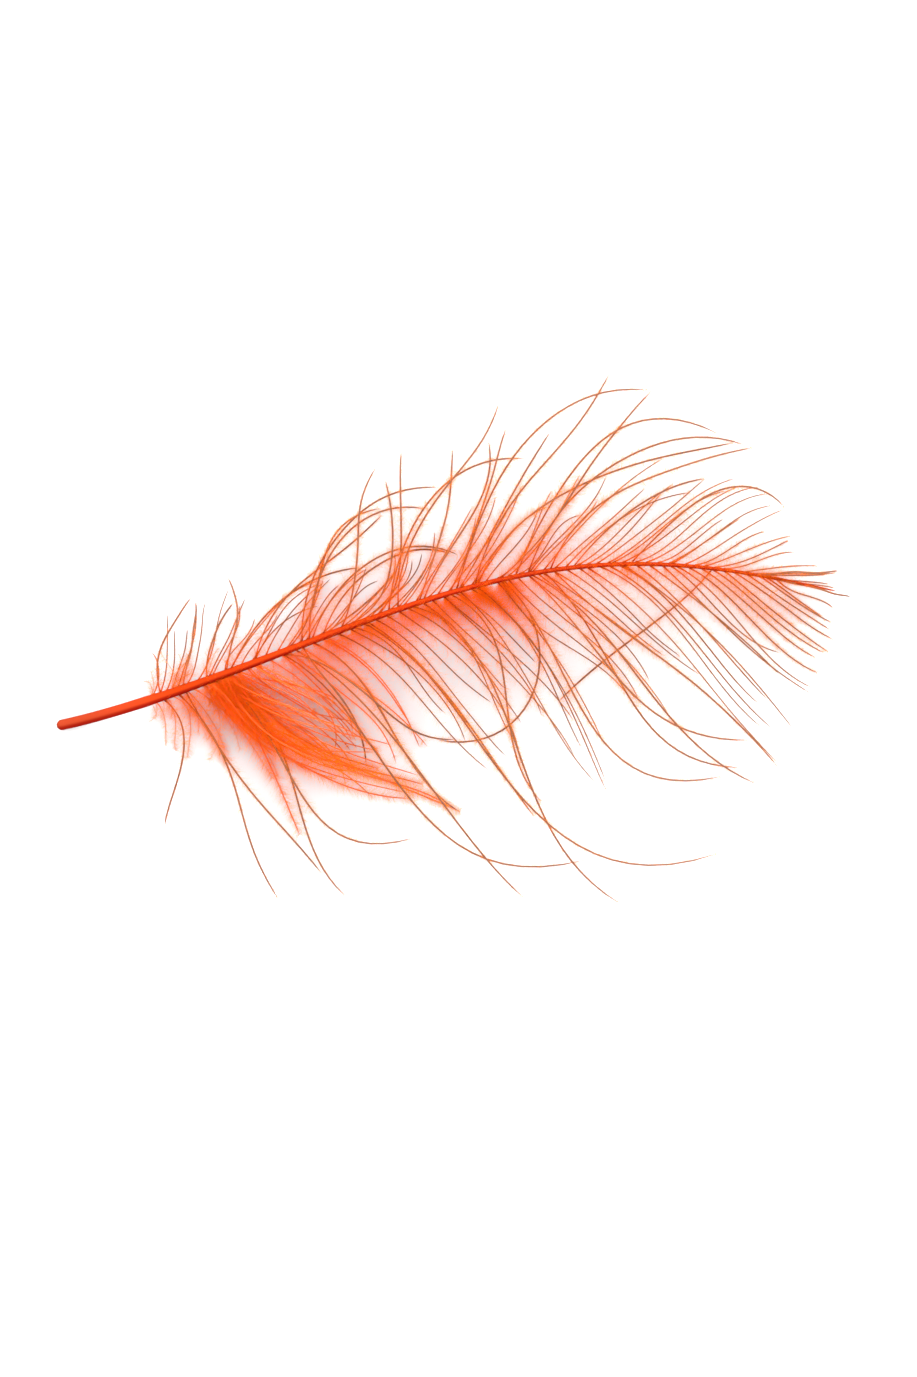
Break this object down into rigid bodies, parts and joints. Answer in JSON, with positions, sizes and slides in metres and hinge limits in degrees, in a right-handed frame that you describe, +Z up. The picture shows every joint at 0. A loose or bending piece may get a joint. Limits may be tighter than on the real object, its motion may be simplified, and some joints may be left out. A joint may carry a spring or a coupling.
{
  "type": "cul de canard feather",
  "caption": "Small dyed down feather with a bare quill, a bowed shaft and loose curved barbs on both sides, lying flat on a surface.",
  "frame": {"origin": "on the surface that the feather lies on, under the middle of its outline", "axes": "+X from the quill's cut end to the shaft's tip, +Z up, away from the surface, and +Y toward the vane whose barbs are the shorter"},
  "size_m": [0.0509, 0.0343, 0.0042],
  "materials": {
    "dyed_keratin": "fine fibres dyed orange, soft sheen on the shaft"
  },
  "bodies": {
    "root": {"feather": "dyed_keratin"}
  },
  "joints": []
}
